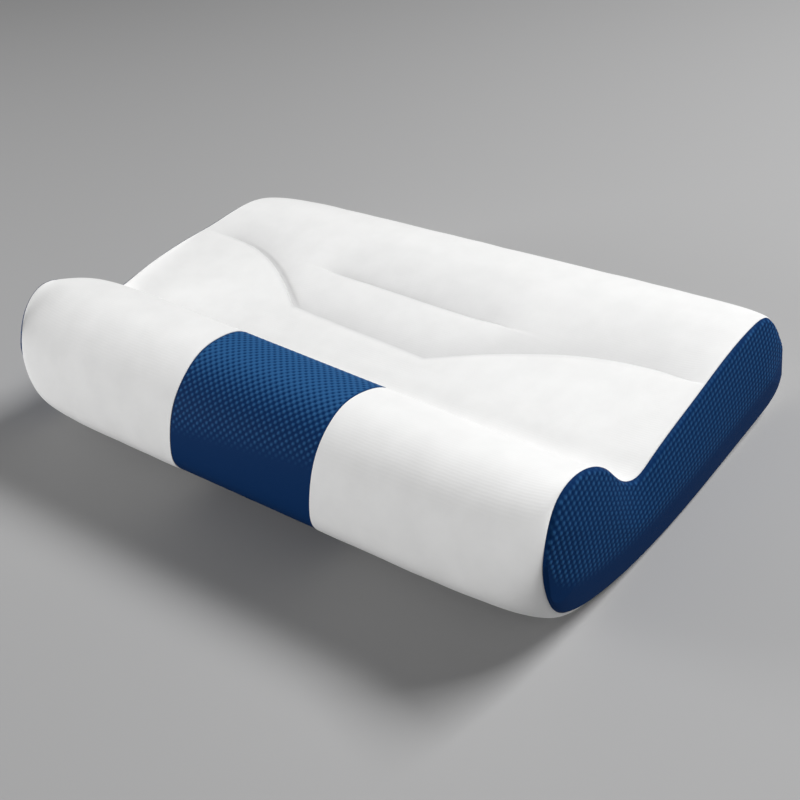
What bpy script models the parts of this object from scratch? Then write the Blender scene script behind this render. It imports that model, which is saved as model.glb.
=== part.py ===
"""Cervical pillow: a contour pillow with a neck roll along its front edge.

The pillow is one filled solid in a white knit cover. A blue air mesh panel is sewn into the
middle of the neck roll, and a blue air mesh panel closes each end. Every cross section is a
closed smooth curve through named stations. The end section is the outline of an end panel,
the middle section is where the filling stands fullest, and the sections between blend from
one to the other, so that the sides are drawn in towards the end seams.

X runs along the roll, Y from the front to the back, and Z up. The tables are in millimetres,
with Y measured from the front of an end panel, and the mesh is in metres.
"""

import math
from typing import NamedTuple

import bmesh
import bpy
import numpy as np

MM = 0.001

# Driving dimensions, millimetres
HALF_LENGTH = 300.0        # from the middle to the seam of an end panel
SECTION_SQUARENESS = 8.0   # how far towards the ends the full middle section reaches
END_CROWN = 5.0            # how far the filling swells past the end seams
CLOTH = 3.0                # thickness of the air mesh
FIT_GAP = 0.3              # clearance between neighbouring pieces
BAND_HALF_WIDTH = 83.0     # half the width of the mesh panel in the roll
PANEL_EDGE = 1.2           # how far an end panel's outer edge is rounded in

# The sewn layers of the top: a front layer up to a crease, a low pad, and a back layer, mm
CREASE_LEFT = (-117.0, 187.0)    # X and Y where the straight middle of the crease ends
CREASE_RIGHT = (56.0, 174.0)
WING_REACH = 67.0          # how far back the crease swings on both sides
WING_PEAK = 0.77           # where along a wing it is farthest back, from 0 to 1
FRONT_LENGTH = 70.0        # length over which the front layer puffs up behind the valley
FRONT_RISE = 4.5
FRONT_CLIMB = 0.07         # slope of the front layer behind its puff
FRONT_DROP = 4.0           # fall from the front layer's edge to the foot of the next layer
PAD_LEFT = (-96.0, 247.0)  # X and Y of the rear edge of the low pad in the middle
PAD_RIGHT = (73.0, 240.0)
PAD_FADE = 34.0            # length over which each end of the pad dies away
PAD_RISE = 9.5
PAD_DROP = 6.0
SEAM_WIDTH = 8.0           # width of the fall behind a layer's edge
RELIEF_FADE = 26.0         # width over which the relief dies away at the valley and the back
END_CALM = 14.0            # how sharply the relief dies away at the ends


class Station(NamedTuple):
    """A place along the cross section: Y and Z in the end and in the middle section."""
    name: str
    end_y: float
    end_z: float
    mid_y: float
    mid_z: float
    steps: int             # mesh rows up to the next station


SECTION = (
    Station("under_roll", 55, 15, 47, 11, 3),
    Station("front_toe", 27, 26, 13, 20, 3),
    Station("front_low", 7, 46, -9, 40, 3),
    Station("front_belly", 0, 78, -12, 60, 4),
    Station("front_shoulder", 6, 108, -1, 92, 3),
    Station("roll_brow", 21, 132, 18, 115, 3),
    Station("roll_crest", 42, 140, 46, 129, 3),
    Station("roll_top", 62, 136, 73, 128, 4),
    Station("band_seam", 87, 118, 101, 114.5, 3),
    Station("valley_edge", 108, 92, 115, 89, 2),
    Station("valley", 124, 83, 126, 79, 2),
    Station("rise_foot", 148, 85, 151, 81, 9),
    Station("rise", 216, 97, 225, 94.5, 9),
    Station("rise_top", 266, 105, 277, 102.5, 8),
    Station("rear_crest", 316, 108, 327, 105, 3),
    Station("rear_brow", 343, 102, 355, 100, 3),
    Station("rear_shoulder", 361, 79, 372, 77, 3),
    Station("rear_belly", 373, 42, 382, 41, 3),
    Station("rear_toe", 365, 16, 371, 15, 3),
    Station("base_rear", 335, 6.5, 338, 5.5, 2),
    Station("base_back", 295, 4, 295, -0.5, 4),
    Station("base_front", 110, 4, 108, -0.5, 3),
)
CREASE_ROW = "rise"        # the mesh rows of these stations bend to follow the crease
PAD_ROW = "rise_top"       # and the pad's rear edge


class Unevenness(NamedTuple):
    """How far a station strays: the roll's lean, and the left end against the right end."""
    name: str
    lean: float            # extra height at the left of the middle section, less at the right
    left_y: float
    left_z: float


UNEVEN = (
    Unevenness("roll_crest", 4, 0, 4),
    Unevenness("roll_top", 10, 0, 5),
    Unevenness("band_seam", 16, 0, 4),
    Unevenness("valley_edge", 8, 0, 8),
    Unevenness("valley", 0, 0, 14),
    Unevenness("rise_foot", 0, 0, 14),
    Unevenness("rise", 0, -1, 7),
    Unevenness("rise_top", 0, -4, -2),
    Unevenness("rear_crest", 0, -8, -5),
    Unevenness("rear_brow", 0, -8, -5),
    Unevenness("rear_shoulder", 0, -4, -2),
)

# Mesh columns from the middle to one end
BAND_COLUMNS = 6
WING_COLUMNS = 13
ROUNDING_COLUMNS = 5
ROUNDING_STARTS = 262.0    # X beyond which the columns close up on the end seam
CAP_RINGS = (0.0, 0.12, 0.35, 0.7)   # rings of an end, from the seam to the spine
SPINE_Y = (45.0, 335.0)    # the line that the rings draw in to, from front to back
SPINE_Z = (62.0, 52.0)

COLOURS = {
    "white_knit": (0.90, 0.90, 0.89, 1.0),
    "blue_air_mesh": (0.020, 0.075, 0.230, 1.0),
}
CLOTH_ROUGHNESS = 0.9
SMOOTH_ANGLE = 40.0        # degrees, the bend above which an edge is drawn sharp


def clear_scene():
    """Remove every object that the file starts with."""
    for thing in list(bpy.data.objects):
        bpy.data.objects.remove(thing, do_unlink=True)


def station_index(name):
    """Row of a named station in the table."""
    return [station.name for station in SECTION].index(name)


def spline_slopes(points, spans):
    """Slopes at the points that make a closed cubic curve bend smoothly through them."""
    count = len(points)
    chords = (np.roll(points, -1, axis=0) - points) / spans[:, None]
    matrix = np.zeros((count, count))
    target = np.zeros_like(points)
    for i in range(count):
        before, after = spans[i - 1], spans[i]
        matrix[i, i - 1] += after
        matrix[i, i] += 2.0 * (before + after)
        matrix[i, (i + 1) % count] += before
        target[i] = 3.0 * (after * chords[i - 1] + before * chords[i])
    return np.linalg.solve(matrix, target)


def closed_curve(points, spans, places):
    """Points of the closed curve at the places, counted in stations from the first one."""
    slopes = spline_slopes(points, spans)
    first = np.floor(places).astype(int)
    u = (places - first)[:, None]
    here = first % len(points)
    there = (here + 1) % len(points)
    span = spans[here][:, None]
    return ((2 * u**3 - 3 * u**2 + 1) * points[here]
            + (u**3 - 2 * u**2 + u) * span * slopes[here]
            + (3 * u**2 - 2 * u**3) * points[there]
            + (u**3 - u**2) * span * slopes[there])


def row_places():
    """Places of the mesh rows all the way round a section, counted in stations."""
    return np.concatenate([i + np.arange(s.steps) / s.steps for i, s in enumerate(SECTION)])


class Profile:
    """The end and middle sections, and the rule that blends them along the pillow."""

    def __init__(self):
        self.right = np.array([(s.end_y, s.end_z) for s in SECTION], dtype=float)
        self.middle = np.array([(s.mid_y, s.mid_z) for s in SECTION], dtype=float)
        self.left = self.right.copy()
        self.lean = np.zeros_like(self.right)
        for row in UNEVEN:
            i = station_index(row.name)
            self.left[i] += (row.left_y, row.left_z)
            self.lean[i, 1] = row.lean
        between = 0.5 * (self.right + self.middle)
        self.spans = np.linalg.norm(np.roll(between, -1, axis=0) - between, axis=1)
        fullest = closed_curve(self.middle, self.spans, row_places())
        self.centre_y = 0.5 * (fullest[:, 0].min() + fullest[:, 0].max())

    def plain(self, x, places):
        """Section at x as an array of Y and Z, before the relief."""
        share = math.sqrt(max(0.0, 1.0 - abs(x / HALF_LENGTH) ** SECTION_SQUARENESS))
        end = self.left if x < 0.0 else self.right
        middle = self.middle - self.lean * x / HALF_LENGTH
        return closed_curve(end + share * (middle - end), self.spans, places)

    def bent(self, x, places):
        """The places with the rows of the top moved, so that two run along the layers' edges."""
        top = (places >= station_index("valley")) & (places <= station_index("rear_crest"))
        rows = places[top]
        y = self.plain(x, rows)[:, 0]
        marks = np.interp([station_index(CREASE_ROW), station_index(PAD_ROW)], rows, y)
        shift = np.interp(y, (y[0], *marks, y[-1]),
                          (0.0, crease_y(x) - marks[0], pad_edge_y(x) - marks[1], 0.0))
        moved = places.copy()
        moved[top] = np.interp(y + shift, y, rows)
        return moved

    def points(self, x, places):
        """Section at x as an array of Y and Z, with the relief and the flat base."""
        places = self.bent(x, places)
        section = self.plain(x, places)
        top = (places >= station_index("valley")) & (places <= station_index("rear_crest"))
        y, z = section[top, 0], section[top, 1]
        calm = 1.0 - abs(x / HALF_LENGTH) ** END_CALM
        fade = calm * smooth(np.minimum(y - y[0], y[-1] - y) / RELIEF_FADE)
        section[top, 1] = z + fade * (layered_top(x, y, z[0], z[-1]) - z)
        section[:, 1] = np.maximum(section[:, 1], 0.0)
        return section


def smooth(t):
    """0 below 0, 1 above 1, and an even S between."""
    t = np.clip(t, 0.0, 1.0)
    return t * t * (3.0 - 2.0 * t)


def puff(t):
    """0 below 0, 1 above 1, steep at its foot and level on top between."""
    return 1.0 - (1.0 - np.clip(t, 0.0, 1.0)) ** 2


def line_between(left, right, x):
    """Y of the straight line between two points, held level beyond them."""
    along = min(max((x - left[0]) / (right[0] - left[0]), 0.0), 1.0)
    return left[1] + along * (right[1] - left[1])


def crease_y(x):
    """Y of the sewn crease: straight in the middle, swinging back in a wing on each side."""
    if x < CREASE_LEFT[0]:
        beyond = (CREASE_LEFT[0] - x) / (HALF_LENGTH + CREASE_LEFT[0])
    else:
        beyond = max(0.0, (x - CREASE_RIGHT[0]) / (HALF_LENGTH - CREASE_RIGHT[0]))
    swing = math.sin(0.5 * math.pi * beyond / WING_PEAK)
    return line_between(CREASE_LEFT, CREASE_RIGHT, x) + WING_REACH * swing


def pad_edge_y(x):
    """Y of the pad's rear edge, which never comes closer to the crease than two seams."""
    return max(line_between(PAD_LEFT, PAD_RIGHT, x), crease_y(x) + 2.0 * SEAM_WIDTH)


def pad_share(x):
    """1 along the pad, dying away beyond both of its ends."""
    outside = max(PAD_LEFT[0] - x, x - PAD_RIGHT[0], 0.0)
    return math.exp(-(outside / PAD_FADE) ** 2)


def front_layer(past, valley_z):
    """Height of the front layer a distance past the valley."""
    return valley_z + FRONT_RISE * puff(past / FRONT_LENGTH) + FRONT_CLIMB * past


def rising_layer(y, foot, crest, low, high):
    """Height of a layer that puffs up from low at its foot to high at its crest."""
    return low + (high - low) * puff((y - foot) / (crest - foot))


def layered_top(x, y, valley_z, rear_z):
    """Height of the top at x, for an array of y from the valley to the rear crest."""
    crease, pad_edge = crease_y(x), pad_edge_y(x)
    edge_z = front_layer(crease - y[0], valley_z)
    foot_z = edge_z - FRONT_DROP
    pad_z = foot_z + PAD_RISE
    behind_crease = smooth((y - crease) / SEAM_WIDTH)
    behind_pad = smooth((y - pad_edge) / SEAM_WIDTH)
    plain = rising_layer(y, crease + SEAM_WIDTH, y[-1], foot_z, rear_z)
    pad = rising_layer(y, crease + SEAM_WIDTH, pad_edge, foot_z, pad_z)
    after_pad = rising_layer(y, pad_edge + SEAM_WIDTH, y[-1], pad_z - PAD_DROP, rear_z)
    with_pad = pad + behind_pad * (after_pad - pad)
    behind = plain + pad_share(x) * (with_pad - plain)
    front = front_layer(np.minimum(y, crease) - y[0], valley_z)
    return front + behind_crease * (behind - front)


def inward(section):
    """Unit vectors pointing into a closed section, square to it at every point."""
    tangent = np.roll(section, -1, axis=0) - np.roll(section, 1, axis=0)
    normal = np.column_stack([tangent[:, 1], -tangent[:, 0]])
    return normal / np.linalg.norm(normal, axis=1)[:, None]


def columns():
    """X of the mesh columns, from one end seam to the other, with the band's edges in them."""
    recess_edge = BAND_HALF_WIDTH + FIT_GAP
    band = np.linspace(0.0, recess_edge, BAND_COLUMNS + 1)
    wing = np.linspace(recess_edge, ROUNDING_STARTS, WING_COLUMNS + 1)[1:]
    turn = np.linspace(0.0, 0.5 * math.pi, ROUNDING_COLUMNS + 1)[1:]
    rounding = ROUNDING_STARTS + (HALF_LENGTH - ROUNDING_STARTS) * np.sin(turn)
    half = np.concatenate([band, wing, rounding])
    return np.concatenate([-half[:0:-1], half])


def at(x, section, centre_y):
    """World points in metres for a section at x."""
    x = np.broadcast_to(x, len(section))
    return np.column_stack([x, section[:, 0] - centre_y, section[:, 1]]) * MM


def end_ring(outline, share):
    """A ring of an end: the outline drawn in towards the spine, and how far it swells out."""
    spine_y = np.clip(outline[:, 0], *SPINE_Y)
    target = np.column_stack([spine_y, np.interp(spine_y, SPINE_Y, SPINE_Z)])
    swell = END_CROWN * (1.0 - (1.0 - share) ** 2)
    return outline + share * (target - outline), swell


def add_object(name, verts, faces, material):
    """Make a mesh object with outward faces, smooth shading and its own material."""
    mesh = bpy.data.meshes.new(name)
    faces = [tuple(int(v) for v in face) for face in faces]
    mesh.from_pydata([tuple(v) for v in verts], [], faces)
    work = bmesh.new()
    work.from_mesh(mesh)
    loose = [v for v in work.verts if not v.link_faces]
    bmesh.ops.delete(work, geom=loose, context="VERTS")
    bmesh.ops.recalc_face_normals(work, faces=work.faces)
    work.to_mesh(mesh)
    work.free()
    mesh.shade_smooth()
    mesh.set_sharp_from_angle(angle=math.radians(SMOOTH_ANGLE))
    mesh.materials.append(material)
    thing = bpy.data.objects.new(name, mesh)
    bpy.context.scene.collection.objects.link(thing)


def cloth_material(name, owner):
    """Matt cloth in one of the named colours."""
    material = bpy.data.materials.new(f"{name}_{owner}")
    material.use_nodes = True
    shader = material.node_tree.nodes["Principled BSDF"]
    shader.inputs["Base Color"].default_value = COLOURS[name]
    shader.inputs["Roughness"].default_value = CLOTH_ROUGHNESS
    return material


def strip(first, second, closed=True):
    """Quads between two rows of vertex numbers."""
    last = len(first) if closed else len(first) - 1
    following = [(i + 1) % len(first) for i in range(last)]
    return [(first[i], first[k], second[k], second[i]) for i, k in enumerate(following)]


def make_body(profile):
    """The filled pillow, with a shallow recess in the roll that the mesh panel fills."""
    xs = columns()
    places = row_places()
    upper = int(np.searchsorted(places, station_index("band_seam")))
    recess_edge = BAND_HALF_WIDTH + FIT_GAP
    left = int(np.argmin(abs(xs + recess_edge)))
    right = int(np.argmin(abs(xs - recess_edge)))
    sections = [profile.points(x, places) for x in xs]
    outer = [at(x, s, profile.centre_y) for x, s in zip(xs, sections)]
    depth = CLOTH + FIT_GAP
    inner = [at(x, s + depth * inward(s), profile.centre_y) for x, s in zip(xs, sections)]
    verts = np.vstack(outer + inner)
    rows = len(places)
    top = np.arange(len(xs) * rows).reshape(len(xs), rows)
    floor = top + len(xs) * rows

    faces = []
    for i in range(len(xs) - 1):
        for j in range(rows):
            sunk = left <= i < right and j < upper
            grid = floor if sunk else top
            k = (j + 1) % rows
            faces.append((grid[i, j], grid[i + 1, j], grid[i + 1, k], grid[i, k]))
    # The four walls of the recess
    for j in (0, upper):
        span = range(left, right + 1)
        faces += strip([top[i, j] for i in span], [floor[i, j] for i in span], closed=False)
    for i in (left, right):
        span = range(upper + 1)
        faces += strip([top[i, j] for j in span], [floor[i, j] for j in span], closed=False)

    for i, side in ((0, -1.0), (len(xs) - 1, 1.0)):
        ring = list(top[i])
        for share in CAP_RINGS[1:]:
            drawn, swell = end_ring(sections[i], share)
            start = len(verts)
            verts = np.vstack([verts, at(side * (HALF_LENGTH + swell), drawn, profile.centre_y)])
            following = list(range(start, start + rows))
            faces += strip(ring, following)
            ring = following
        faces.append(tuple(ring))
    add_object("pillow_body", verts, faces, cloth_material("white_knit", "body"))


def make_band(profile):
    """The mesh panel sewn into the middle of the roll, flush with the white cloth."""
    inside = [x for x in columns() if abs(x) < BAND_HALF_WIDTH]
    xs = [-BAND_HALF_WIDTH] + inside + [BAND_HALF_WIDTH]
    places = row_places()
    sections = [profile.points(x, places) for x in xs]
    upper = int(np.searchsorted(places, station_index("band_seam")))
    outer = []
    inner = []
    for x, section in zip(xs, sections):
        depths = section + CLOTH * inward(section)
        edge_in = [shorten(rows[:upper + 1], FIT_GAP) for rows in (section, depths)]
        outer.append(at(x, edge_in[0], profile.centre_y))
        inner.append(at(x, edge_in[1], profile.centre_y))
    verts = np.vstack(outer + inner)
    rows = upper + 1
    top = np.arange(len(xs) * rows).reshape(len(xs), rows)
    under = top + len(xs) * rows
    faces = []
    for grid in (top, under):
        for i in range(len(xs) - 1):
            faces += strip(list(grid[i]), list(grid[i + 1]), closed=False)
    for j in (0, rows - 1):
        faces += strip(list(top[:, j]), list(under[:, j]), closed=False)
    for i in (0, len(xs) - 1):
        faces += strip(list(top[i]), list(under[i]), closed=False)
    add_object("centre_band", verts, faces, cloth_material("blue_air_mesh", "band"))


def shorten(path, amount):
    """The same open path with its first and last points moved inwards along it."""
    path = path.copy()
    for end, neighbour in ((0, 1), (-1, -2)):
        step = path[neighbour] - path[end]
        path[end] += amount * step / np.linalg.norm(step)
    return path


def make_end_panel(profile, name, side):
    """One end panel: a sheet of air mesh that follows the swelling of the filled end."""
    outline = profile.points(side * HALF_LENGTH, row_places())
    rows = len(outline)
    seat = HALF_LENGTH + FIT_GAP
    rings = []
    for share in reversed(CAP_RINGS):
        drawn, swell = end_ring(outline, share)
        rings.append(at(side * (seat + swell), drawn, profile.centre_y))
    rounded = outline + PANEL_EDGE * inward(outline)
    rings.append(at(side * (seat + CLOTH - PANEL_EDGE), outline, profile.centre_y))
    for share in CAP_RINGS:
        drawn, swell = end_ring(rounded if share == 0.0 else outline, share)
        rings.append(at(side * (seat + CLOTH + swell), drawn, profile.centre_y))
    verts = np.vstack(rings)
    number = np.arange(len(rings) * rows).reshape(len(rings), rows)
    faces = []
    for first, second in zip(number[:-1], number[1:]):
        faces += strip(list(first), list(second))
    faces += [tuple(number[0]), tuple(number[-1])]
    add_object(name, verts, faces, cloth_material("blue_air_mesh", name))


def main():
    clear_scene()
    profile = Profile()
    make_body(profile)
    make_band(profile)
    make_end_panel(profile, "end_panel_left", -1.0)
    make_end_panel(profile, "end_panel_right", 1.0)


main()
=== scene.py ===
# %% [markdown]
# # A contour neck pillow in white knit and blue air mesh
#
# The pillow lies on its flat base. A full neck roll runs along its front edge. Behind it the
# top is low, then rises to the back edge. A sewn crease splits that top into soft layers.
# The solids come from the CAD model, which is the fixed frame here. This script gives them
# their cloth: a smooth white cover, a blue mesh panel in the roll and one at each end.

import math
from typing import NamedTuple

import bmesh
import bpy
import numpy as np
from mathutils import Matrix, Vector


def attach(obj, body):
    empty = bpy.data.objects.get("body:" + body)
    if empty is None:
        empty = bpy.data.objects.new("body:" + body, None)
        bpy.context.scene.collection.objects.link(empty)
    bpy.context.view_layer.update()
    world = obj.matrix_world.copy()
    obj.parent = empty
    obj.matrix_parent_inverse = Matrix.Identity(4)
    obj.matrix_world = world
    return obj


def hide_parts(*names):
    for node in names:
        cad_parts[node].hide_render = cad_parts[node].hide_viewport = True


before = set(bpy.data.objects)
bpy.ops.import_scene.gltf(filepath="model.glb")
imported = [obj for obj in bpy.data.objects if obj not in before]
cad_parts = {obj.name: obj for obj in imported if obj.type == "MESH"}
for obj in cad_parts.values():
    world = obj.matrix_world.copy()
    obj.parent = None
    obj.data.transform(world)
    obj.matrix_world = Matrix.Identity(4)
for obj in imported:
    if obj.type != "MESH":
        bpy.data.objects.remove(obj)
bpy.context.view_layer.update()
MM = 0.001
print("nodes:", sorted(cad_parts))

# %% [markdown]
# ## The camera
#
# The photograph was taken from the right front, from well above. A camera is a place, a
# direction and a lens. Here the place is worked out from the point that it looks at, the
# turn round the pillow, the height above the horizon and the distance, so that each number
# means something. The camera leans a little, which makes the roll run downhill.

# %% Place the camera
AIM = Vector((0.0300, -0.0191, 0.0400))
AZIMUTH = math.radians(44.50)
ELEVATION = math.radians(34.40)
DISTANCE = 1.1576
LEAN = math.radians(-9.833)
LENS = 57.0


def camera_axes(azimuth, elevation, lean):
    """The camera's right, up and back, as unit vectors.

    Back points from the aim to the camera. Right starts level and square to it, up starts
    square to both, and the lean then turns the two about back.
    """
    back = Vector((math.cos(elevation) * math.sin(azimuth),
                   -math.cos(elevation) * math.cos(azimuth), math.sin(elevation)))
    level = Vector((math.cos(azimuth), math.sin(azimuth), 0.0))
    upright = back.cross(level)
    right = math.cos(lean) * level + math.sin(lean) * upright
    up = math.cos(lean) * upright - math.sin(lean) * level
    return right, up, back


right, up, back = camera_axes(AZIMUTH, ELEVATION, LEAN)
camera = bpy.data.objects.new("camera", bpy.data.cameras.new("camera"))
bpy.context.scene.collection.objects.link(camera)
camera.data.lens = LENS
camera.matrix_world = Matrix.Translation(AIM + DISTANCE * back) @ Matrix(
    (right, up, back)).transposed().to_4x4()
bpy.context.scene.camera = camera
print("camera at", [round(v, 3) for v in camera.matrix_world.translation])

# %% [markdown]
# ## Small helpers for materials
#
# A material is a small graph: texture nodes feed the sockets of one shader. These helpers
# keep the recipes below short, so that each one reads as a list of what the cloth does.


# %% Helpers that build a material
def new_material(name, roughness, sheen=0.0, specular=0.2):
    """A matt cloth material, with its nodes, its links and its shader."""
    material = bpy.data.materials.new(name)
    material.use_nodes = True
    nodes, links = material.node_tree.nodes, material.node_tree.links
    shader = nodes["Principled BSDF"]
    shader.inputs["Roughness"].default_value = roughness
    shader.inputs["Sheen Weight"].default_value = sheen
    shader.inputs["Specular IOR Level"].default_value = specular
    return material, nodes, links, shader


def add_node(nodes, kind, **values):
    """A node with some of its sockets and properties set by name."""
    node = nodes.new(kind)
    for key, value in values.items():
        name = key.replace("_", " ")
        if name in node.inputs:
            node.inputs[name].default_value = value
        else:
            setattr(node, key, value)
    return node


def colour_ramp(nodes, stops):
    """A ramp through (place, colour) stops, where a colour is red, green and blue."""
    ramp = nodes.new("ShaderNodeValToRGB")
    while len(ramp.color_ramp.elements) < len(stops):
        ramp.color_ramp.elements.new(0.5)
    for element, (place, colour) in zip(ramp.color_ramp.elements, stops):
        element.position = place
        element.color = (*colour, 1.0)
    return ramp


def add_bump(nodes, links, height, strength, depth, before=None):
    """The normal socket of a bump from a height socket, laid over the bump before it."""
    bump = add_node(nodes, "ShaderNodeBump", Strength=strength, Distance=depth)
    links.new(height, bump.inputs["Height"])
    if before is not None:
        links.new(before, bump.inputs["Normal"])
    return bump.outputs["Normal"]


# %% [markdown]
# ## The floor and the light
#
# The backdrop is one plain, matt, grey surface. A wide lamp hangs behind the pillow and aims
# past it at the foreground, so that slopes which face the front fall off to grey, soft layers
# can be read, and the floor darkens towards the back. A low lamp from the left front lights
# the roll but hardly touches the floor. A third one rounds off the roll's upper front. It
# reaches the pillow alone, which Blender calls light linking, and so it leaves the shadow.

# %% Make the floor and the lamps
FLOOR_HALF = 4.0
FLOOR_GREY = (0.52, 0.52, 0.523)


class Lamp(NamedTuple):
    """An area lamp. Azimuth runs from the back of the pillow to its right, in degrees."""
    name: str
    azimuth: float
    elevation: float
    width: float
    height: float
    spread: float
    aim: tuple
    watts: float
    pillow_only: bool


LAMP_DISTANCE = 3.3
LAMPS = (
    Lamp("key_behind", 37.0, 42.5, 1.5, 0.7, 130.0, (0.3, -0.9, 0.0), 52.0, False),
    Lamp("fill_left", 242.0, 11.0, 1.5, 1.0, 120.0, (0.0, 0.0, 0.0), 29.0, False),
    Lamp("fill_above", 180.0, 60.0, 1.5, 1.5, 180.0, (0.0, 0.0, 0.0), 27.0, True),
)
WORLD_STRENGTH = 0.11

floor_mesh = bpy.data.meshes.new("floor")
floor_mesh.from_pydata([(x, y, 0.0) for x, y in (
    (-FLOOR_HALF, -FLOOR_HALF), (FLOOR_HALF, -FLOOR_HALF),
    (FLOOR_HALF, FLOOR_HALF), (-FLOOR_HALF, FLOOR_HALF))], [], [(0, 1, 2, 3)])
floor = bpy.data.objects.new("floor", floor_mesh)
bpy.context.scene.collection.objects.link(floor)
floor_paint, _, _, shader = new_material("floor_paint", roughness=0.9)
shader.inputs["Base Color"].default_value = (*FLOOR_GREY, 1.0)
floor_mesh.materials.append(floor_paint)

pillow_cloth = bpy.data.collections.new("pillow_cloth")


def hang(lamp):
    """Hang an area lamp at its azimuth and elevation, turned to its aim."""
    light = bpy.data.lights.new(lamp.name, "AREA")
    light.shape = "RECTANGLE"
    light.size, light.size_y = lamp.width, lamp.height
    light.spread = math.radians(lamp.spread)
    light.energy = lamp.watts
    turn, rise = math.radians(lamp.azimuth), math.radians(lamp.elevation)
    place = LAMP_DISTANCE * Vector((math.cos(rise) * math.sin(turn),
                                    math.cos(rise) * math.cos(turn), math.sin(rise)))
    holder = bpy.data.objects.new(lamp.name, light)
    holder.visible_camera = False
    holder.location = place
    holder.rotation_euler = (Vector(lamp.aim) - place).to_track_quat("-Z", "Y").to_euler()
    bpy.context.scene.collection.objects.link(holder)
    if lamp.pillow_only:
        holder.light_linking.receiver_collection = pillow_cloth


for lamp in LAMPS:
    hang(lamp)

world = bpy.data.worlds.new("studio")
world.use_nodes = True
world.node_tree.nodes["Background"].inputs["Strength"].default_value = WORLD_STRENGTH
world.node_tree.nodes["Background"].inputs["Color"].default_value = (1.0, 1.0, 1.0, 1.0)
bpy.context.scene.world = world
bpy.context.scene.view_settings.view_transform = "Standard"
print("lamps:", [lamp.name for lamp in LAMPS])

# %% [markdown]
# ## The shape of the pillow as two cross sections
#
# A filled pillow is drawn in where its cloth is sewn to the end panels, and stands fullest
# in its middle. So two cross sections say it all: one at an end seam and one in the middle.
# Each is a closed smooth curve through named stations. One could model it by hand or let a
# cloth simulation blow it up, but a simulation fills the low middle and flattens the roll,
# and both are what this pillow is for. The table is in millimetres, with Y from the front
# of an end panel. The last column is the number of mesh rows up to the next station.


# %% Name the stations of the cross section
class Station(NamedTuple):
    """A place along the cross section: Y and Z at an end and in the middle."""
    name: str
    end_y: float
    end_z: float
    mid_y: float
    mid_z: float
    rows: int


SECTION = (
    Station("under_roll", 55, 15, 47, 11, 9),
    Station("front_toe", 27, 26, 13, 20, 9),
    Station("front_low", 7, 46, -9, 40, 10),
    Station("front_belly", 0, 78, -12, 60, 10),
    Station("front_shoulder", 6, 108, -1, 92, 9),
    Station("roll_brow", 21, 132, 18, 115, 8),
    Station("roll_crest", 42, 140, 46, 129, 7),
    Station("roll_top", 62, 136, 73, 128, 10),
    Station("band_seam", 87, 118, 101, 114.5, 10),
    Station("valley_edge", 108, 92, 115, 89, 7),
    Station("valley", 124, 83, 126, 79, 9),
    Station("rise_foot", 148, 85, 151, 81, 44),
    Station("rise", 216, 97, 225, 94.5, 44),
    Station("rise_top", 266, 105, 277, 102.5, 24),
    Station("rear_crest", 316, 108, 327, 105, 9),
    Station("rear_brow", 343, 102, 355, 100, 10),
    Station("rear_shoulder", 361, 79, 372, 77, 12),
    Station("rear_belly", 373, 42, 382, 41, 9),
    Station("rear_toe", 365, 16, 371, 15, 8),
    Station("base_rear", 335, 6.5, 338, 5.5, 8),
    Station("base_back", 295, 4, 295, -0.5, 24),
    Station("base_front", 110, 4, 108, -0.5, 12),
)
STATION = {station.name: i for i, station in enumerate(SECTION)}


class Unevenness(NamedTuple):
    """How far a station strays: the roll's lean, and the left end against the right one."""
    name: str
    lean: float
    left_y: float
    left_z: float


UNEVEN = (
    Unevenness("roll_crest", 4, 0, 4),
    Unevenness("roll_top", 10, 0, 5),
    Unevenness("band_seam", 16, 0, 4),
    Unevenness("valley_edge", 8, 0, 8),
    Unevenness("valley", 0, 0, 14),
    Unevenness("rise_foot", 0, 0, 14),
    Unevenness("rise", 0, -1, 7),
    Unevenness("rise_top", 0, -4, -2),
    Unevenness("rear_crest", 0, -8, -5),
    Unevenness("rear_brow", 0, -8, -5),
    Unevenness("rear_shoulder", 0, -4, -2),
)

HALF_LENGTH = 300.0
SECTION_SQUARENESS = 8.0
RIGHT_END = np.array([(s.end_y, s.end_z) for s in SECTION], dtype=float)
MIDDLE = np.array([(s.mid_y, s.mid_z) for s in SECTION], dtype=float)
LEFT_END = RIGHT_END.copy()
ROLL_LEAN = np.zeros_like(RIGHT_END)
for row in UNEVEN:
    LEFT_END[STATION[row.name]] += (row.left_y, row.left_z)
    ROLL_LEAN[STATION[row.name], 1] = row.lean
PLACES = np.concatenate([i + np.arange(s.rows) / s.rows for i, s in enumerate(SECTION)])
print(len(SECTION), "stations and", len(PLACES), "mesh rows round the pillow")

# %% [markdown]
# ## A smooth closed curve through the stations
#
# A cubic spline bends least on its way through its points. Its slopes come from one set of
# linear equations. The distances between stations are the same for every section here, so
# the equations are solved once, and every section of the pillow is one matrix product.

# %% Work out sections with a spline
between = 0.5 * (RIGHT_END + MIDDLE)
SPANS = np.linalg.norm(np.roll(between, -1, axis=0) - between, axis=1)


def slope_matrix(spans):
    """The matrix that turns the stations of a closed curve into its slopes there.

    Where two cubic pieces meet, their second derivatives agree, which gives for each point:
    after * slope before + 2 * (before + after) * slope here + before * slope after
    = 3 * (after * chord before + before * chord after).
    """
    count = len(spans)
    eye = np.eye(count)
    before, after = np.roll(spans, 1)[:, None], spans[:, None]
    previous, following = np.roll(eye, -1, axis=1), np.roll(eye, 1, axis=1)
    left_side = after * previous + 2.0 * (before + after) * eye + before * following
    chord_after = (following - eye) / after
    chord_before = (eye - previous) / before
    return np.linalg.solve(left_side, 3.0 * (after * chord_before + before * chord_after))


SLOPES = slope_matrix(SPANS)


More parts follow.
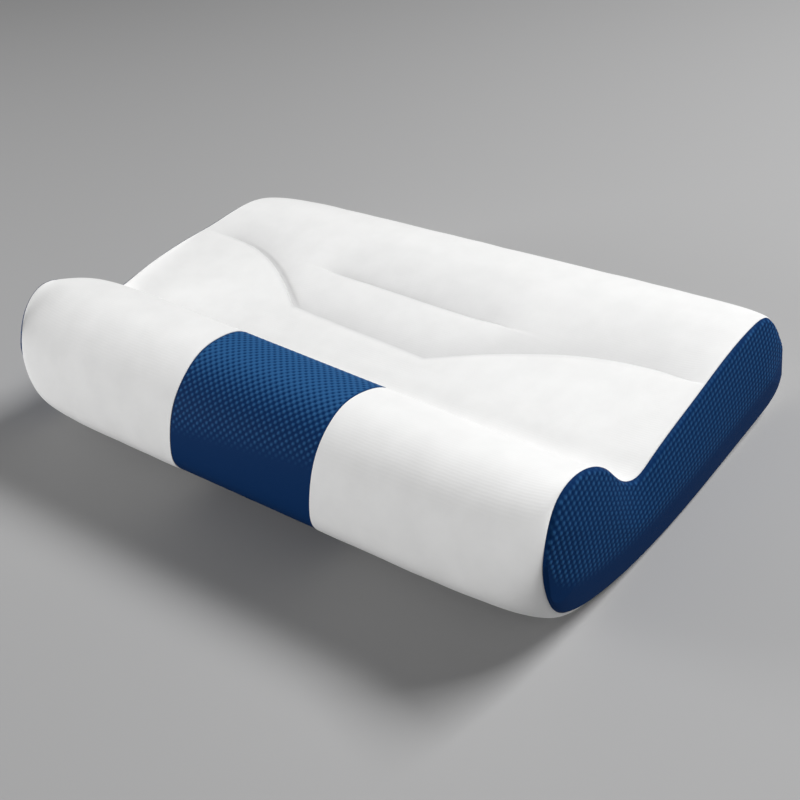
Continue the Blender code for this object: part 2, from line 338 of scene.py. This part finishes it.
def plain_sections(x, places):
    """Y and Z of the sections at x, an array of columns by rows by two.

    places has a row of places for each x, counted in stations. The share of the middle
    section is the square root of 1 - (x / half length) ** squareness: full along most of
    the pillow, and round where it closes on the end seam.
    """
    x = x[:, None, None]
    share = np.sqrt(np.clip(1.0 - np.abs(x / HALF_LENGTH) ** SECTION_SQUARENESS, 0.0, 1.0))
    end = np.where(x < 0.0, LEFT_END, RIGHT_END)
    points = end + share * (MIDDLE - ROLL_LEAN * x / HALF_LENGTH - end)
    slopes = SLOPES @ points
    first = np.floor(places).astype(int)
    u = (places - first)[..., None]
    here = first % len(SECTION)
    there = (here + 1) % len(SECTION)
    span = SPANS[here][..., None]
    column = np.arange(len(points))[:, None]
    return ((2 * u**3 - 3 * u**2 + 1) * points[column, here]
            + (u**3 - 2 * u**2 + u) * span * slopes[column, here]
            + (3 * u**2 - 2 * u**3) * points[column, there]
            + (u**3 - u**2) * span * slopes[column, there])


def broad(places, x):
    """The same places for every x."""
    return np.broadcast_to(places, (len(x), len(places)))


middle_section = plain_sections(np.zeros(1), broad(PLACES, [0]))[0]
CENTRE_Y = 0.5 * (middle_section[:, 0].min() + middle_section[:, 0].max())
print("depth in mm:", round(float(np.ptp(middle_section[:, 0])), 1))

# %% [markdown]
# ## The sewn layers of the top
#
# The top is quilted into three soft layers, like shingles. The front layer ends at a crease
# that is straight in the middle and swings back as a wing on each side. Behind it lies a
# small low pad, and behind that the back layer rises to the rear edge. Each layer puffs up
# from its foot and turns down sharply into the seam behind it. That is a height added to
# the plain top, as a function of X and Y.

# %% Shape the layers
CREASE_LEFT = (-117.0, 187.0)
CREASE_RIGHT = (56.0, 174.0)
WING_REACH = 67.0          # how far back the wings of the crease swing
WING_PEAK = 0.77           # where along a wing it lies furthest back, from 0 to 1
PAD_LEFT = (-96.0, 247.0)
PAD_RIGHT = (73.0, 240.0)
PAD_FADE = 34.0            # how quickly the pad dies out beyond its two ends
FRONT_FOOT = 126.0         # Y of the valley, where the front layer begins
FRONT_LENGTH = 70.0        # length over which the front layer puffs up
FRONT_RISE = 4.5           # height of that puff
FRONT_CLIMB = 0.07         # slope of the front layer behind its puff
FRONT_DROP = 4.0           # how far its edge stands over the next layer's foot
PAD_RISE = 9.5             # from the pad's foot up to its edge
PAD_DROP = 6.0             # how far its edge stands over the back layer's foot
REAR_CREST = 326.0         # Y where the back layer is full
SEAM_WIDTH = 5.0           # width of the turn down into a seam
OVERHANG = 4.0             # how far a layer's edge rolls back over its seam
OVERHANG_TAPER = 0.7       # below 1, the roll back begins further in front of the edge
RELIEF_FADE = 26.0         # width over which the layers die out at the front and the back
END_CALM = 14.0            # the higher, the closer to the ends the layers die out
# painted shade: the cloth is painted darker at the foot of each layer, and this sets its reach
FOOT_SHADE_LENGTH = 38.0         # how quickly the grey at the foot of a layer fades


def smooth(t):
    """0 below 0, 1 above 1, and 3 t^2 - 2 t^3 between."""
    t = np.clip(t, 0.0, 1.0)
    return t * t * (3.0 - 2.0 * t)


def puff(t):
    """0 below 0, 1 above 1, and 1 - (1 - t)^2 between: steep at its foot, level on top."""
    return 1.0 - (1.0 - np.clip(t, 0.0, 1.0)) ** 2


def line_between(left, right, x):
    """Y of the straight line between two points, held level beyond them."""
    return np.interp(x, (left[0], right[0]), (left[1], right[1]))


def crease_y(x):
    """Y of the crease: a straight middle, plus reach * sin(quarter turn / peak) in a wing."""
    left = np.maximum(CREASE_LEFT[0] - x, 0.0) / (HALF_LENGTH + CREASE_LEFT[0])
    right = np.maximum(x - CREASE_RIGHT[0], 0.0) / (HALF_LENGTH - CREASE_RIGHT[0])
    swing = np.sin(0.5 * np.pi * (left + right) / WING_PEAK)
    return line_between(CREASE_LEFT, CREASE_RIGHT, x) + WING_REACH * swing


def pad_crest_y(x):
    """Y of the pad's rear edge, which never comes closer to the crease than two seams."""
    return np.maximum(line_between(PAD_LEFT, PAD_RIGHT, x), crease_y(x) + 2.0 * SEAM_WIDTH)


def pad_share(x):
    """1 along the pad, and exp(-(distance / fade)^2) beyond its two ends."""
    outside = np.maximum(np.maximum(PAD_LEFT[0] - x, x - PAD_RIGHT[0]), 0.0)
    return np.exp(-((outside / PAD_FADE) ** 2))


def front_layer(y, valley_z):
    """The front layer puffs up from the valley and then climbs gently."""
    past = y - FRONT_FOOT
    return valley_z + FRONT_RISE * puff(past / FRONT_LENGTH) + FRONT_CLIMB * past


def rising_layer(y, foot, crest, low, high):
    """A layer that puffs up from low at its foot to high at its crest."""
    return low + (high - low) * puff((y - foot) / (crest - foot))


def layered_top(x, y, valley_z, rear_z):
    """Height in mm of the layered top at x and y. Each layer starts below the edge of the
    one before it and puffs up to its own edge, and the pad fades out at both of its ends."""
    crease, pad_crest = crease_y(x), pad_crest_y(x)
    front_edge = front_layer(crease, valley_z)
    pad_edge = front_edge - FRONT_DROP + PAD_RISE
    pad = rising_layer(y, crease + SEAM_WIDTH, pad_crest, front_edge - FRONT_DROP, pad_edge)
    after_pad = rising_layer(y, pad_crest + SEAM_WIDTH, REAR_CREST, pad_edge - PAD_DROP, rear_z)
    with_pad = pad + smooth((y - pad_crest) / SEAM_WIDTH) * (after_pad - pad)
    plain = rising_layer(y, crease + SEAM_WIDTH, REAR_CREST, front_edge - FRONT_DROP, rear_z)
    behind = plain + pad_share(x) * (with_pad - plain)
    front = front_layer(np.minimum(y, crease), valley_z)
    return front + smooth((y - crease) / SEAM_WIDTH) * (behind - front)


def overhang(x, y):
    """How far in mm a point moves back, so that a layer's edge rolls over its seam: most at
    the edge itself, and nothing from one seam's width behind it or 1.4 in front of it."""
    def near(edge):
        t = (y - edge) / SEAM_WIDTH
        return smooth(1.0 + OVERHANG_TAPER * t) * smooth(1.0 - t)
    return OVERHANG * (near(crease_y(x)) + pad_share(x) * near(pad_crest_y(x)))


def foot_painted_shade(x, y):
    """How much painted shade darkens a point at the foot of a layer: exp(-distance / length)
    behind the edge of the layer before it, and 0 in front of that edge."""
    def behind(edge):
        past = y - edge
        return smooth(past / SEAM_WIDTH) * np.exp(-np.maximum(past, 0.0) / FOOT_SHADE_LENGTH)
    pad = pad_share(x) * behind(pad_crest_y(x))
    return np.maximum(behind(crease_y(x)), pad) * smooth((REAR_CREST - y) / RELIEF_FADE)


def calm(x):
    """1 along the pillow and 0 at its ends, where the cloth is sewn to the plain outline."""
    return 1.0 - np.abs(x / HALF_LENGTH) ** END_CALM


def sections(x, places):
    """Y and Z of the finished sections: the plain ones with their rows moved so that row
    "rise" follows the crease, then lifted or sunk to the layered top, with a flat base."""
    top = (places >= STATION["valley"]) & (places <= STATION["rear_crest"])
    rows = places[top]
    crease_row = int(np.argmin(np.abs(rows - STATION["rise"])))
    y = plain_sections(x, broad(places, x))[:, top, 0]
    tent = np.stack([np.interp(line, (line[0], line[crease_row], line[-1]), (0.0, 1.0, 0.0))
                     for line in y])
    wanted = y + (crease_y(x)[:, None] - y[:, [crease_row]]) * tent
    moved = broad(places, x).copy()
    moved[:, top] = np.stack([np.interp(goal, line, rows) for goal, line in zip(wanted, y)])
    section = plain_sections(x, moved)
    y, z = section[:, top, 0], section[:, top, 1]
    fade = calm(x)[:, None] * smooth(np.minimum(y - y[:, :1], y[:, -1:] - y) / RELIEF_FADE)
    wide = x[:, None]
    section[:, top, 1] = z + fade * (layered_top(wide, y, z[:, :1], z[:, -1:]) - z)
    section[:, top, 0] = y + fade * overhang(wide, y)
    section[..., 1] = np.maximum(section[..., 1], 0.0)
    return section


print("crease in mm at -250, 0 and 250:", crease_y(np.array([-250.0, 0.0, 250.0])).round())

# %% [markdown]
# ## The white cover
#
# The cover is one padded form. A grid of columns along the pillow and rows round it carries
# the whole surface, with finer columns where it rounds into the end seams. Each end closes
# with rings that draw in to a line. The mesh panel of the roll lies in a shallow recess, so
# that its blue cloth ends flush with the white.

# %% Build the cover's grid
BAND_HALF_WIDTH = 83.0
FIT_GAP = 0.3              # between a sheet and the cover
CLOTH = 3.0                # thickness of the air mesh
END_CROWN = 3.0            # the cover's own ends stay behind the panels
SHARP_ANGLE = math.radians(60.0)    # folds beyond it shade as edges, as at the recess
MERGE_DISTANCE = 1e-6
COLUMN_STEP = 2.7
ROUNDING_STARTS = 268.0    # X from which the columns come closer
ROUNDING_COLUMNS = 12
CAP_RINGS = (0.06, 0.15, 0.28, 0.45, 0.7, 1.0)    # how far each ring is drawn in
SPINE_Y = (45.0, 335.0)    # the two ends of the line that the rings draw in to
SPINE_Z = (62.0, 52.0)
LUMPS_ABOVE = 12.0         # below this height the filling keeps the cloth even


class Wave(NamedTuple):
    """A slow wave of the filling: height in mm, lengths in mm over pi, and its start."""
    height: float
    along: float
    across: float
    start: float


LUMPS = (
    Wave(0.11, 31.0, 47.0, 0.4),
    Wave(0.08, 17.0, -23.0, 2.1),
    Wave(0.06, -13.0, 19.0, 4.0),
)


def columns(edge):
    """X of the columns: even ones, closer ones at the ends, and a pair at the band's edge."""
    band = np.linspace(0.0, edge, int(edge / COLUMN_STEP) + 1)
    wing = np.linspace(edge + FIT_GAP, ROUNDING_STARTS,
                       int((ROUNDING_STARTS - edge) / COLUMN_STEP) + 1)
    turn = np.linspace(0.0, 0.5 * np.pi, ROUNDING_COLUMNS + 1)[1:]
    rounding = ROUNDING_STARTS + (HALF_LENGTH - ROUNDING_STARTS) * np.sin(turn)
    half = np.concatenate([band, wing, rounding])
    return np.concatenate([-half[:0:-1], half])


def turned_in(tangent):
    """Unit vectors square to the tangents of sections, on their inner side."""
    normal = np.stack([tangent[..., 1], -tangent[..., 0]], axis=-1)
    return normal / np.linalg.norm(normal, axis=-1, keepdims=True)


def inward(section):
    """Unit vectors into closed sections, square to them at every point."""
    return turned_in(np.roll(section, -1, axis=-2) - np.roll(section, 1, axis=-2))


def lumps(x, section):
    """Soft unevenness of the filling in mm: the sum of height * sin(2 * phase + start),
    where the phase is x / along + y / across + z / along."""
    total = 0.0
    for wave in LUMPS:
        phase = (x[:, None] / wave.along + section[..., 0] / wave.across
                 + section[..., 1] / wave.along)
        total = total + wave.height * np.sin(2.0 * phase + wave.start)
    return total


def row_points(x, section):
    """Points in metres, in the row frame, for sections at x."""
    x = np.broadcast_to(np.asarray(x, dtype=float)[..., None], section.shape[:-1])
    return np.stack([x, section[..., 0] - CENTRE_Y, section[..., 1]], axis=-1) * MM


def wrap_quads(first, second):
    """Quads between closed rings of vertex numbers."""
    return np.stack([first, second, np.roll(second, -1, axis=-1),
                     np.roll(first, -1, axis=-1)], axis=-1).reshape(-1, 4)


def make_piece(name, points, faces, uv=None, **kept):
    """A smooth mesh object from points, quads and, for each point, a UV and named values
    that its material reads."""
    mesh = bpy.data.meshes.new(name)
    mesh.from_pydata(points.reshape(-1, 3).tolist(), [], faces.tolist())
    if uv is not None:
        corner = np.empty(len(mesh.loops), dtype=np.int32)
        mesh.loops.foreach_get("vertex_index", corner)
        layer_uv = mesh.uv_layers.new(name="cloth")
        layer_uv.data.foreach_set("uv", uv.reshape(-1, 2)[corner].astype(np.float32).ravel())
    for title, values in kept.items():
        attribute = mesh.attributes.new(title, "FLOAT", "POINT")
        attribute.data.foreach_set("value", values.astype(np.float32).ravel())
    work = bmesh.new()
    work.from_mesh(mesh)
    bmesh.ops.remove_doubles(work, verts=work.verts, dist=MERGE_DISTANCE)
    bmesh.ops.recalc_face_normals(work, faces=work.faces)
    work.to_mesh(mesh)
    work.free()
    mesh.shade_smooth()
    mesh.set_sharp_from_angle(angle=SHARP_ANGLE)
    piece = bpy.data.objects.new(name, mesh)
    bpy.context.scene.collection.objects.link(piece)
    pillow_cloth.objects.link(piece)
    return piece


def end_rings(outline, x, direction, crown):
    """The rings of an end: the outline drawn in to a line, swelling out by the crown."""
    share = np.array(CAP_RINGS)[:, None, None]
    spine_y = np.clip(outline[:, 0], *SPINE_Y)
    spine = np.stack([spine_y, np.interp(spine_y, SPINE_Y, SPINE_Z)], axis=-1)
    drawn = outline + share * (spine - outline)
    swell = crown * puff(np.array(CAP_RINGS))
    return row_points(x + direction * swell, drawn)


def cover():
    """The white cover: the sections, sunk by the recess under the band, and two ends."""
    x = columns(BAND_HALF_WIDTH)
    section = sections(x, PLACES)
    band_rows = PLACES < STATION["band_seam"]
    sunk = (np.abs(x) <= BAND_HALF_WIDTH + 0.5 * FIT_GAP)[:, None] & band_rows
    uneven = lumps(x, section) * (section[..., 1] > LUMPS_ABOVE)
    depth = np.where(sunk, CLOTH + FIT_GAP, -uneven)
    section = section + depth[..., None] * inward(section)
    points = row_points(x, section)
    on_top = (PLACES > STATION["valley"]) & (PLACES < STATION["rear_crest"])
    # painted shade: how much each point of the top is darkened at the foot of a layer
    foot = (foot_painted_shade(x[:, None], section[..., 0]) * calm(x)[:, None] * on_top).ravel()
    number = np.arange(points.shape[0] * points.shape[1]).reshape(points.shape[:2])
    faces = [wrap_quads(number[1:], number[:-1])]
    points = points.reshape(-1, 3)
    for i, direction in ((0, -1.0), (len(x) - 1, 1.0)):
        rings = end_rings(section[i], direction * HALF_LENGTH, direction, END_CROWN)
        ring_number = len(points) + np.arange(len(CAP_RINGS) * len(PLACES))
        ring_number = ring_number.reshape(len(CAP_RINGS), -1)
        points = np.concatenate([points, rings.reshape(-1, 3)])
        chain = np.concatenate([number[i][None], ring_number])
        faces.append(wrap_quads(chain[1:], chain[:-1]))
    foot = np.concatenate([foot, np.zeros(len(points) - len(foot))])
    return make_piece("white_cover", points, np.concatenate(faces), foot=foot)


white_cover = cover()
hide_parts("pillow_body")
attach(white_cover, "root")
print("white cover:", 2 * len(white_cover.data.polygons), "triangles")

# %% [markdown]
# ## White knit
#
# The cover is a fine jersey. Up close it has rows of small loops, and from a step away only
# a soft mottling is left. The bump adds two scales: a rib of loops that runs along the
# pillow, and slow noise for the cloth's uneven pull. The colour stays close to white, with
# a faint grey in the low places of the noise. At the foot of each layer, just behind a
# crease, the colour is darkened. This is painted shade, by as much as the attribute "foot"
# gives.

# %% Knit the white material
KNIT_RIB = 2.4 * MM
RIBS_PER_METRE = 3.14      # of the wave texture at scale 1, nearly
RIB_STRENGTH, RIB_DEPTH = 0.05, 0.5 * MM
PULL_STRENGTH, PULL_DEPTH = 0.22, 1.2 * MM
MOTTLE_SCALE = 38.0
KNIT_TINT = ((0.35, (0.875, 0.875, 0.87)), (0.65, (0.905, 0.905, 0.90)))
# painted shade: the colour that the knit is multiplied by at the feet of the layers
PAINTED_SHADE_GREY = (0.84, 0.84, 0.845, 1.0)
MIX_TINT, MIX_PAINTED_SHADE, MIX_RESULT = 6, 7, 2    # the colour sockets of a mix node

knit, nodes, links, shader = new_material("white_knit", roughness=0.85, sheen=0.15)
where = add_node(nodes, "ShaderNodeTexCoord")
mottle = add_node(nodes, "ShaderNodeTexNoise", Scale=MOTTLE_SCALE, Detail=3.0,
                  Roughness=0.55)
links.new(where.outputs["Object"], mottle.inputs["Vector"])
tint = colour_ramp(nodes, KNIT_TINT)
links.new(mottle.outputs["Fac"], tint.inputs["Fac"])
# painted shade: the attribute "foot" mixes that darker colour into the tint
foot = add_node(nodes, "ShaderNodeAttribute", attribute_name="foot")
painted_shade_mix = add_node(nodes, "ShaderNodeMix", data_type="RGBA", blend_type="MULTIPLY")
painted_shade_mix.inputs[MIX_PAINTED_SHADE].default_value = PAINTED_SHADE_GREY
links.new(foot.outputs["Fac"], painted_shade_mix.inputs["Factor"])
links.new(tint.outputs["Color"], painted_shade_mix.inputs[MIX_TINT])
links.new(painted_shade_mix.outputs[MIX_RESULT], shader.inputs["Base Color"])
rib = add_node(nodes, "ShaderNodeTexWave", Scale=1.0 / KNIT_RIB / RIBS_PER_METRE,
               Distortion=1.5, Detail=2.0, bands_direction="Y")
links.new(where.outputs["Object"], rib.inputs["Vector"])
ribbed = add_bump(nodes, links, rib.outputs["Fac"], RIB_STRENGTH, RIB_DEPTH)
pulled = add_bump(nodes, links, mottle.outputs["Fac"], PULL_STRENGTH, PULL_DEPTH, ribbed)
links.new(pulled, shader.inputs["Normal"])
white_cover.data.materials.append(knit)
print("white knit: rib of", KNIT_RIB / MM, "mm")

# %% [markdown]
# ## The net of the air mesh
#
# Air mesh is a thick knit with a net on its face: threads run between small raised knots
# and leave round holes. On a flat cloth the knots lie on a square lattice, and the band is
# cut so that the lattice stands on its corner. Over the crest, where the light falls, the
# net is drawn as light threads round small holes, and further down, in shade, as light
# knots on a dark ground. The relief changes with it, and the lighter and darker ground is
# painted light and painted shade. The height is a sum of waves, so the same function shapes
# the mesh and colours it.

# %% Work out the net
NET_PITCH = 5.1
NET_HEIGHT = 0.45
PRESSED = 0.06             # height of the net where it is pressed flat, from 0 to 1
SEAM_PRESS = 3.0           # how far from a seam the net is pressed
HOLES_CUT = (0.0, 0.65)    # levels of the waves that become 0 and 1 where dots is 0
DOTS_CUT = (0.45, 1.03)    # and the two levels where dots is 1
BAND_NET_TURN = math.radians(45.0)
PANEL_NET_TURN = math.radians(9.0)


def net_height(u, v, turn, dots):
    """0 in the holes and 1 on the knots: the mean of two cosine waves, square to each
    other and turned by an angle, cut off between two levels that rise with dots. At dots 0
    the cloth is mostly thread round small holes, and at dots 1 mostly the gaps between knots."""
    a = (u * math.cos(turn) + v * math.sin(turn)) / NET_PITCH
    b = (v * math.cos(turn) - u * math.sin(turn)) / NET_PITCH
    waves = 0.5 + 0.25 * (np.cos(2.0 * np.pi * a) + np.cos(2.0 * np.pi * b))
    low, high = (hole + dots * (dot - hole) for hole, dot in zip(HOLES_CUT, DOTS_CUT))
    return smooth((waves - low) / (high - low))


def sheet_faces(count_a, count_b):
    """Quads of a closed sheet: a grid on its face, the same on its back, and four edges."""
    face = np.arange(count_a * count_b).reshape(count_a, count_b)
    under = face + face.size
    grids = [np.stack([g[:-1, :-1], g[1:, :-1], g[1:, 1:], g[:-1, 1:]], axis=-1).reshape(-1, 4)
             for g in (face, under)]
    edges = [np.stack([face[line][:-1], face[line][1:], under[line][1:], under[line][:-1]],
                      axis=-1) for line in (np.s_[0], np.s_[-1], np.s_[:, 0], np.s_[:, -1])]
    return np.concatenate(grids + edges)


def pressed_net(net, to_seam, to_smooth, fade):
    """The net, flat at a seam and flat beyond a line. Flat net is coloured near navy, so
    beyond the line the cloth is darker: painted shade on the low parts of the cloth.
    """
    share = smooth(to_seam / SEAM_PRESS) * smooth(to_smooth / fade)
    return PRESSED + share * (net - PRESSED)


# %% [markdown]
# ## The band in the roll
#
# The band runs from under the roll, up its front and over its crest to the seam in front of
# the valley. It uses the very sections of the cover, so it sits flush. Its rows are spaced
# by length along the section, because the net has to stay even on the curved cloth.

# %% Build the band
BAND_STEP = 1.05
BAND_SAMPLES = 1200        # fine steps along the section, which measure its length
# painted shade: beyond this line the band's net is flat and near navy, darker under the roll
BAND_NET_LENGTH = 129.0    # from the upper seam down to where the net ends
BAND_NET_LEAN = 0.11       # how much shorter it is for each mm to the right
BAND_NET_FADE = 18.0
# painted light and shade: near the upper seam the band is a light ground, lower down a dark one
# with light dots
BAND_DOTS = (45.0, 95.0)   # from the upper seam, where the dots begin and are full


def band():
    """The band: rows of equal length along the roll's sections, raised by the net."""
    half = BAND_HALF_WIDTH
    x = np.linspace(-half, half, int(2 * half / BAND_STEP) + 1)
    fine = np.linspace(0.0, STATION["band_seam"], BAND_SAMPLES)
    path = plain_sections(np.zeros(1), broad(fine, [0]))[0]
    length = np.concatenate([[0.0], np.cumsum(np.linalg.norm(np.diff(path, axis=0), axis=1))])
    along = np.linspace(FIT_GAP, length[-1] - FIT_GAP, int(length[-1] / BAND_STEP) + 1)
    places = np.interp(along, length, fine)
    section = plain_sections(x, broad(places, x))
    section[..., 1] = np.maximum(section[..., 1], 0.0)
    into = turned_in(np.gradient(section, axis=1))
    from_seam = along[-1] - along[None]
    dots = smooth((from_seam - BAND_DOTS[0]) / (BAND_DOTS[1] - BAND_DOTS[0]))
    net = net_height(x[:, None], along[None], BAND_NET_TURN, dots)
    edge = np.minimum(half - np.abs(x)[:, None],
                      np.minimum(along - along[0], along[-1] - along)[None])
    to_smooth = BAND_NET_LENGTH - BAND_NET_LEAN * x[:, None] - from_seam
    net = pressed_net(net, edge, to_smooth, BAND_NET_FADE)
    face = section + (NET_HEIGHT * (1.0 - net))[..., None] * into
    under = section + CLOTH * into
    points = np.stack([row_points(x, face), row_points(x, under)])
    uv = np.stack(np.broadcast_arrays(x[:, None], along[None]), axis=-1) * MM
    piece = make_piece("centre_band_mesh", points, sheet_faces(len(x), len(along)),
                       np.stack([uv, uv]), net=np.stack([net, net]))
    return piece, 2.0 * half * MM, float(along[-1] - along[0]) * MM


band_piece, band_width, band_length = band()
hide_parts("centre_band")
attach(band_piece, "root")
print("band, flat, in mm:", round(band_width / MM), "x", round(band_length / MM))

# %% [markdown]
# ## The end panels
#
# Each end is closed by one piece of air mesh, cut to the outline of the end section. It is
# laid out here as upright lines from the lower to the upper edge, closer together near the
# nose and the heel, so that the grid stays even for the net. The filling swells it a little.
# The panel stops just above the lower edge, where the white cover wraps round under it.

# %% Build the end panels
PANEL_COLUMNS = 330
PANEL_ROWS = 104
OUTLINE_SAMPLES = 4001
NOSE_TRIM = 0.02           # the panel stops this far inside the ends of the outline
PANEL_CROWN = 5.0          # how far the filling swells the panel
PANEL_CROWN_WIDTH = 55.0   # distance from the edge at which it is full
RIM_SLOPE = 0.9            # the rim falls off this steeply into the seam
RIM_THICKNESS = 0.2
WHITE_EDGE = 1.2           # strip of the cover that shows below the panel
WHITE_EDGE_FADE = 40.0     # where the panel is lower than this, the strip narrows
# painted shade: below this the panel's net is flat and near navy, darker along its low strip
PANEL_NET_STARTS = 24.0    # height above the lower edge from which the net shows
PANEL_NET_FADE = 16.0
PANEL_DOTS = 0.8           # the panels' net is nearer to dots than to holes


def panel_edges(outline, y):
    """Heights of the lower and the upper edge at each y, from a closed outline."""
    nose, heel = int(np.argmin(outline[:, 0])), int(np.argmax(outline[:, 0]))
    upper = outline[nose:heel + 1]
    lower = np.concatenate([outline[heel:], outline[:nose + 1]])[::-1]
    return np.interp(y, lower[:, 0], lower[:, 1]), np.interp(y, upper[:, 0], upper[:, 1])


def end_panel(name, side):
    """A panel: a grid of upright lines between its edges, crowned, and raised by the net."""
    fine = np.linspace(0.0, len(SECTION), OUTLINE_SAMPLES)[:-1]
    outline = plain_sections(np.array([side * HALF_LENGTH]), broad(fine, [0]))[0]
    ends = outline[:, 0].min() + NOSE_TRIM, outline[:, 0].max() - NOSE_TRIM
    turn = np.linspace(0.0, np.pi, PANEL_COLUMNS)
    y = ends[0] + (ends[1] - ends[0]) * (0.5 - 0.5 * np.cos(turn))
    low, high = panel_edges(outline, y)
    low = low + WHITE_EDGE * smooth((high - low) / WHITE_EDGE_FADE)
    share = np.linspace(0.0, 1.0, PANEL_ROWS)
    z = low[:, None] + (high - low)[:, None] * share
    to_edge = np.minimum(np.minimum(share, 1.0 - share) * (high - low)[:, None],
                         np.minimum(y - ends[0], ends[1] - y)[:, None])
    y = np.broadcast_to(y[:, None], z.shape)
    crown = PANEL_CROWN * puff(to_edge / PANEL_CROWN_WIDTH)
    net = pressed_net(net_height(y, z, PANEL_NET_TURN, PANEL_DOTS), to_edge,
                      z - low[:, None] - PANEL_NET_STARTS, PANEL_NET_FADE)
    seat = HALF_LENGTH + FIT_GAP
    thick = np.minimum(CLOTH - NET_HEIGHT * (1.0 - net), RIM_THICKNESS + RIM_SLOPE * to_edge)
    face = side * (seat + crown + thick)
    under = side * (seat + crown)
    flat = np.stack([y, z], axis=-1)
    points = np.stack([np.stack([place, y - CENTRE_Y, z], axis=-1) * MM
                       for place in (face, under)])
    piece = make_piece(name, points, sheet_faces(*z.shape), np.stack([flat, flat]) * MM,
                       net=np.stack([net, net]))
    tall = high - low
    area = float((0.5 * (tall[1:] + tall[:-1]) * np.diff(y[:, 0])).sum()) * MM * MM
    return piece, (float(np.ptp(y)) * MM, float(np.ptp(z)) * MM), area


panels = []
for name, node, side in (("end_panel_left_mesh", "end_panel_left", -1.0),
                         ("end_panel_right_mesh", "end_panel_right", 1.0)):
    panel, flat, area = end_panel(name, side)
    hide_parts(node)
    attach(panel, "root")
    panels.append(panel)
    print(name, "cut from", [round(v / MM) for v in flat], "mm, area", round(area, 4), "m2")

# %% [markdown]
# ## Blue air mesh
#
# The net's height, kept on the mesh as an attribute, tells knots from holes. The ramp turns
# it into colour: nearly navy down in the holes, which is painted shade there, and a brighter
# blue on the knots. Where the net lies flat it takes the navy too. A fine bump on the
# cloth's own coordinates adds the single threads.

# %% Dye the blue material
THREAD = 0.9 * MM
THREAD_STRENGTH, THREAD_DEPTH = 0.25, 0.4 * MM
# NAVY is the blue dye darkened as painted shade in the holes and on the flat net; BLUE is the
# knots
NAVY, BLUE = (0.0030, 0.025, 0.100), (0.027, 0.110, 0.275)

air_mesh, nodes, links, shader = new_material("blue_air_mesh", roughness=0.6, specular=0.02)
height = add_node(nodes, "ShaderNodeAttribute", attribute_name="net")
dye_and_painted_shade = colour_ramp(nodes, ((0.0, NAVY), (1.0, BLUE)))
links.new(height.outputs["Fac"], dye_and_painted_shade.inputs["Fac"])
links.new(dye_and_painted_shade.outputs["Color"], shader.inputs["Base Color"])
cloth = add_node(nodes, "ShaderNodeTexCoord")
threads = add_node(nodes, "ShaderNodeTexVoronoi", Scale=1.0 / THREAD)
links.new(cloth.outputs["UV"], threads.inputs["Vector"])
threaded = add_bump(nodes, links, threads.outputs["Distance"], THREAD_STRENGTH, THREAD_DEPTH)
links.new(threaded, shader.inputs["Normal"])
for piece in (band_piece, *panels):
    piece.data.materials.append(air_mesh)
print("blue air mesh on", 1 + len(panels), "pieces")
